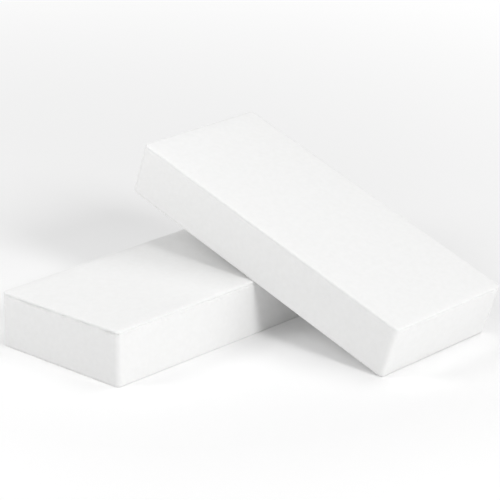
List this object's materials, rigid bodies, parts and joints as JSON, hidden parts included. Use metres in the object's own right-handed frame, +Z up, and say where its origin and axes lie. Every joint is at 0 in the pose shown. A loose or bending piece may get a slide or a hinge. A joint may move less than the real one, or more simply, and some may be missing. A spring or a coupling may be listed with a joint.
{
  "type": "floral foam brick",
  "caption": "Plain white floral foam brick lying flat with another leaning across it, for pushing cut stems into.",
  "frame": {"origin": "middle of the lower brick's base, on the table", "axes": "+Z up, +X along the lower brick's length towards the end that the other brick lies over; the leaning brick's foot comes down on the -Y side"},
  "size_m": [0.22, 0.2198, 0.106],
  "materials": {
    "foam": "dry rigid white foam, fine cells, quite matt"
  },
  "bodies": {
    "lower_brick": {"lower_brick": "foam"},
    "leaning_brick": {"leaning_brick": "foam"}
  },
  "joints": [
    {"name": "brick_rock", "type": "hinge", "parent": "lower_brick", "child": "leaning_brick", "pos_m": [0.0577, -0.0493, 0.0345], "axis": [-1, 0, 0], "range_deg": [0, 19.21]}
  ]
}
